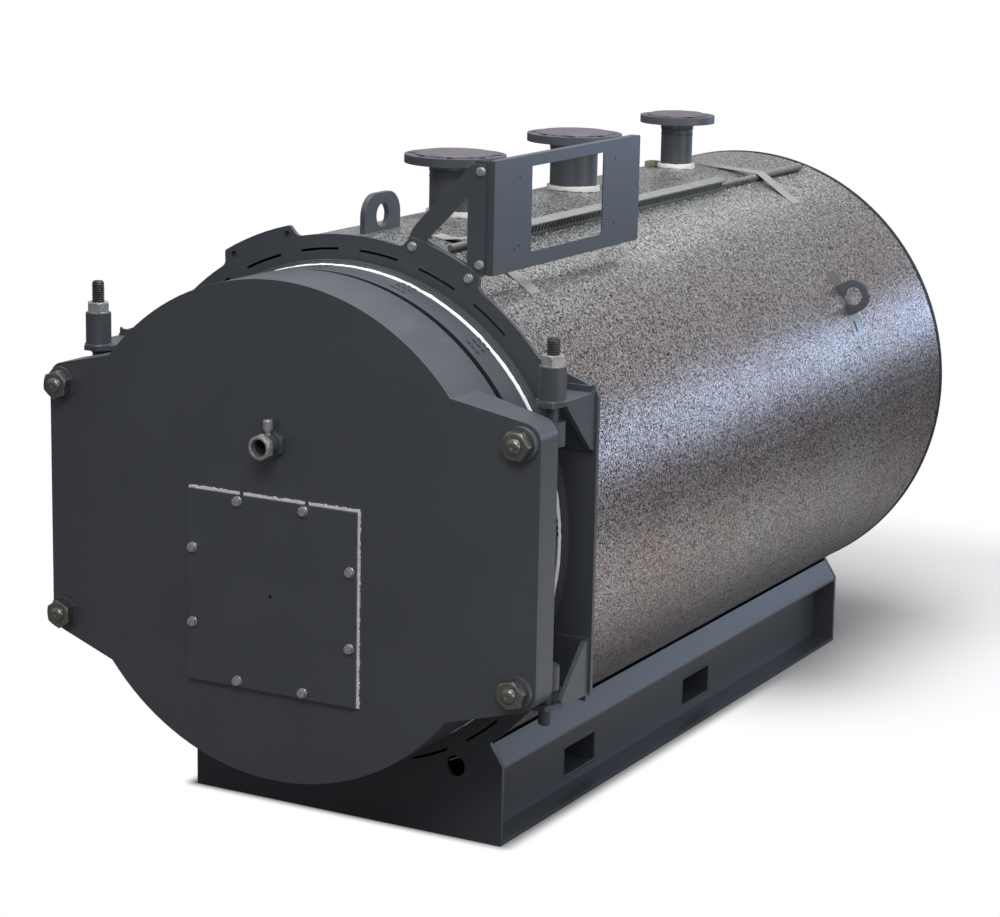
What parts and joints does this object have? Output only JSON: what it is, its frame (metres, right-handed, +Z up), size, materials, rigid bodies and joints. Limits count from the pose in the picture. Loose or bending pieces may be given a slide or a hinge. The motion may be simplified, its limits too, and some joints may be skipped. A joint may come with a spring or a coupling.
{
  "type": "industrial boiler",
  "caption": "Horizontal fire-tube hot-water boiler with a hinged front door, galvanised jacket, top flanged nozzles, control-panel bracket and a welded base with fork pockets.",
  "frame": {"origin": "on the floor under the middle of the overall length and width", "axes": "+Z up, +X to the right seen from the front, the door faces -Y"},
  "size_m": [1.126, 2.384, 1.3745],
  "materials": {
    "graphite_paint": "semi-matt graphite grey paint",
    "boiler_steel": "bare mill-scaled steel",
    "galvanised_sheet": "fine-embossed galvanised sheet",
    "dark_trim": "dark edge trim",
    "white_rope": "white mineral-fibre seal",
    "cap_plastic": "grey film cap",
    "dark_steel": "blackened steel",
    "zinc_steel": "zinc-plated steel",
    "refractory": "cast refractory"
  },
  "bodies": {
    "boiler": {"front_frame_plate": "graphite_paint", "rear_saddle_plate": "graphite_paint", "base_rails": "graphite_paint", "fork_pockets": "graphite_paint", "pressure_shell": "boiler_steel", "front_tube_sheet": "boiler_steel", "rear_tube_sheet": "boiler_steel", "furnace_tube": "boiler_steel", "jacket": "galvanised_sheet", "rear_cover": "galvanised_sheet", "rear_trim": "dark_trim", "flue_outlet": "boiler_steel", "seal_lip": "graphite_paint", "rope_seal": "white_rope", "supply_nozzle": "graphite_paint", "return_nozzle": "graphite_paint", "safety_nozzle": "graphite_paint", "nozzle_caps": "cap_plastic", "nozzle_collars": "white_rope", "front_lifting_lug": "graphite_paint", "rear_lifting_lugs": "graphite_paint", "hinge_brackets": "graphite_paint", "hinge_pins": "dark_steel", "hinge_nuts": "zinc_steel", "panel_bracket": "graphite_paint", "panel_plate": "graphite_paint", "cable_tray": "galvanised_sheet", "conduit": "dark_trim"},
    "door": {"door_front_plate": "graphite_paint", "door_ear_rims": "graphite_paint", "door_drum": "graphite_paint", "door_collar": "graphite_paint", "door_lining": "refractory", "burner_gasket": "white_rope", "burner_plate": "graphite_paint", "sight_pipe": "dark_steel", "sight_nipple": "zinc_steel", "clamp_eye_bolts": "dark_steel", "clamp_washers": "graphite_paint", "clamp_nuts": "dark_steel"}
  },
  "joints": [
    {"name": "door_hinge", "type": "hinge", "parent": "boiler", "child": "door", "pos_m": [0.525, -0.989, 0.6525], "axis": [0, 0, 1], "range_deg": [0, 105]}
  ]
}
